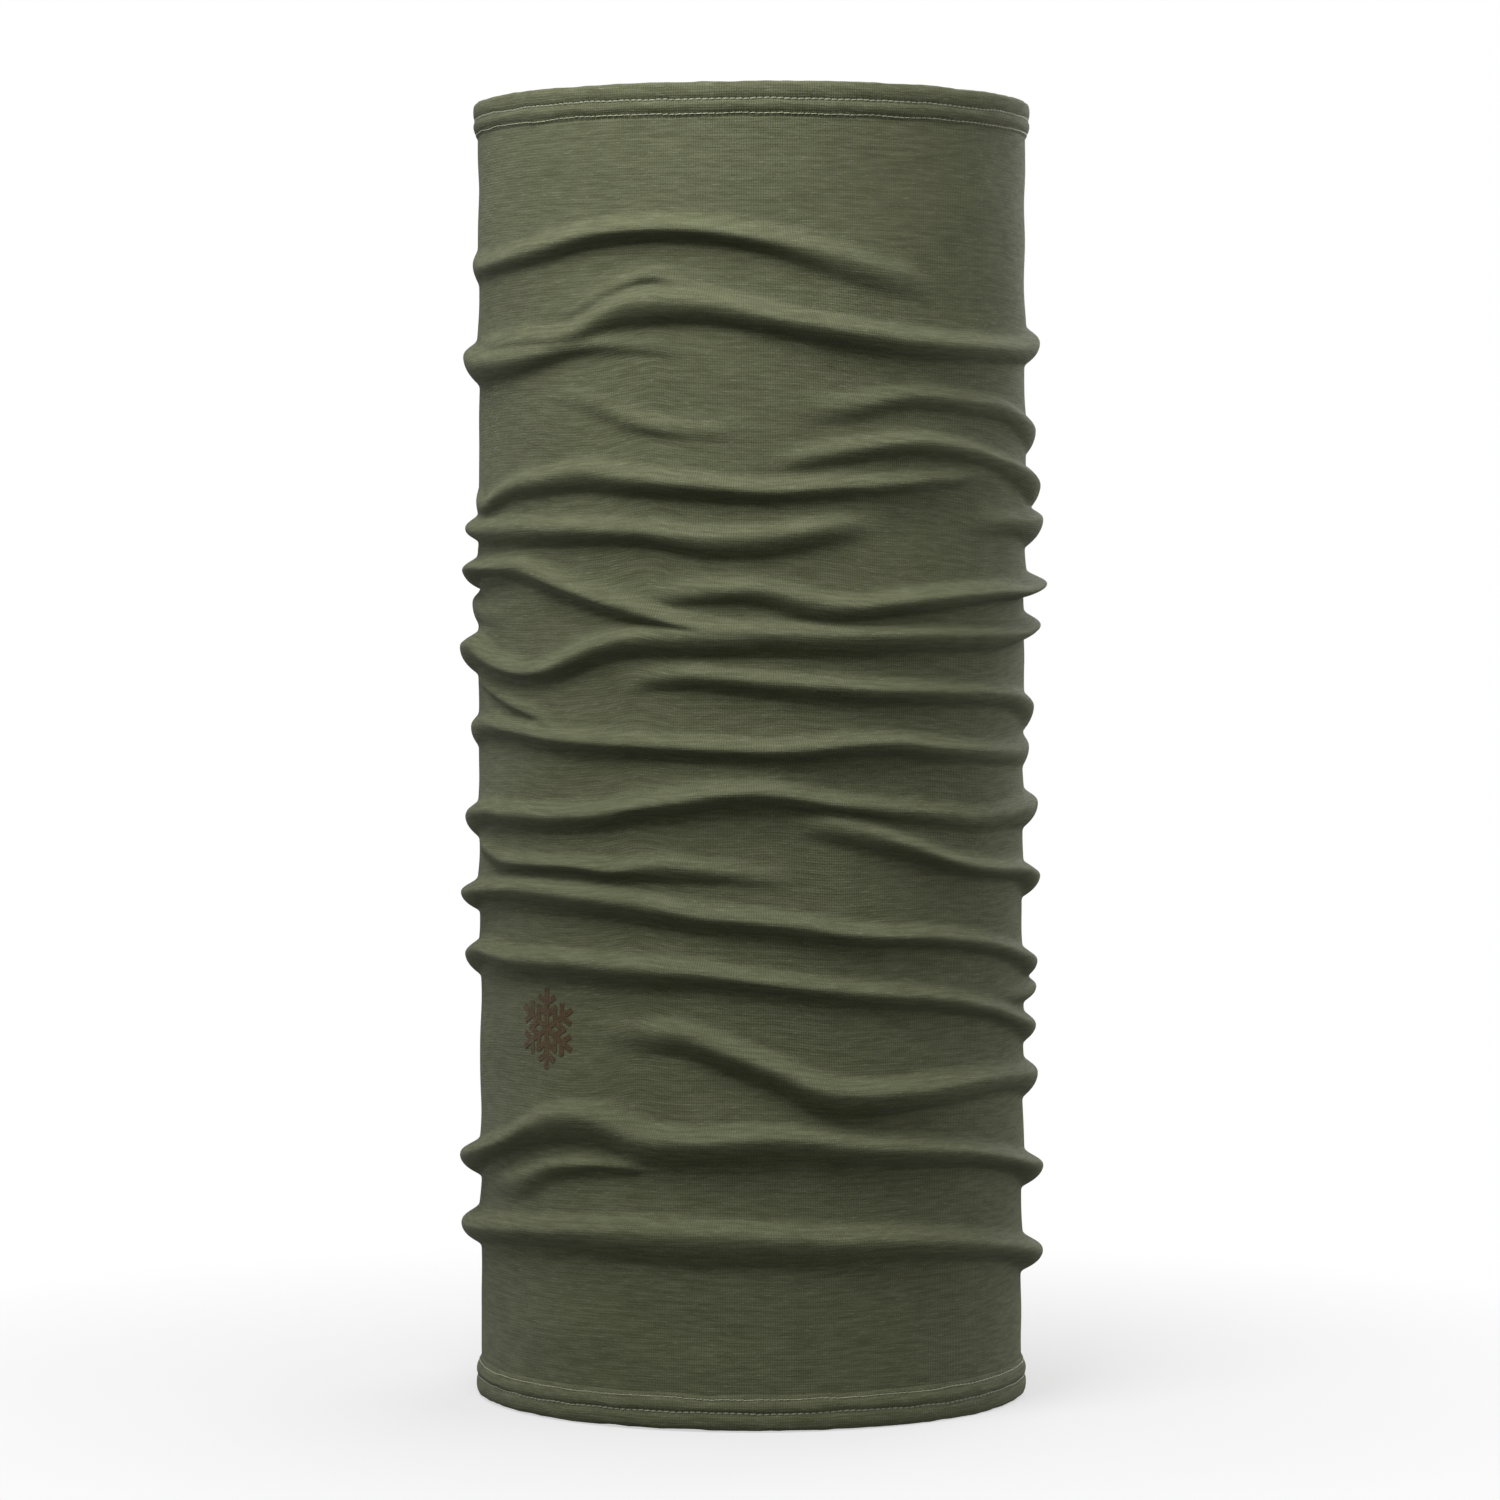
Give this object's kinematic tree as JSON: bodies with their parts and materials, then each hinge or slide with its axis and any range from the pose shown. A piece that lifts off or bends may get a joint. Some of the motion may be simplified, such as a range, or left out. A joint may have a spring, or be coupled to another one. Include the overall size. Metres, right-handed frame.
{
  "type": "neck gaiter",
  "caption": "Seamless knit neck gaiter, gathered in soft horizontal folds, with turned and coverstitched hems and a small print.",
  "frame": {"origin": "middle of the bottom edge, at the level that it stands on", "axes": "+Z along the tube to the top edge, -Y the front that carries the print, +X to the right as seen from the front"},
  "size_m": [0.1722, 0.1722, 0.376],
  "materials": {
    "knit": "heathered olive merino jersey",
    "thread": "olive sewing thread, slight sheen",
    "print": "thin matt transfer print, reddish brown",
    "label": "woven satin tape, blank"
  },
  "bodies": {
    "skirt": {"knit_tube": "knit", "bottom_hem": "knit", "bottom_edge_thread": "thread", "bottom_body_thread": "thread", "bottom_looper_thread": "thread", "snowflake_print": "print"},
    "collar": {"top_hem": "knit", "top_edge_thread": "thread", "top_body_thread": "thread", "top_looper_thread": "thread"},
    "label": {"care_label": "label"}
  },
  "joints": [
    {"name": "gather", "type": "slide", "parent": "skirt", "child": "collar", "axis": [0, 0, 1], "range_m": [-0.12, 0.08], "deforming": ["knit_tube"]},
    {"name": "label_flap", "type": "hinge", "parent": "collar", "child": "label", "pos_m": [0, 0.0785, 0.3636], "axis": [-1, 0, 0], "range_deg": [0, 90]}
  ]
}
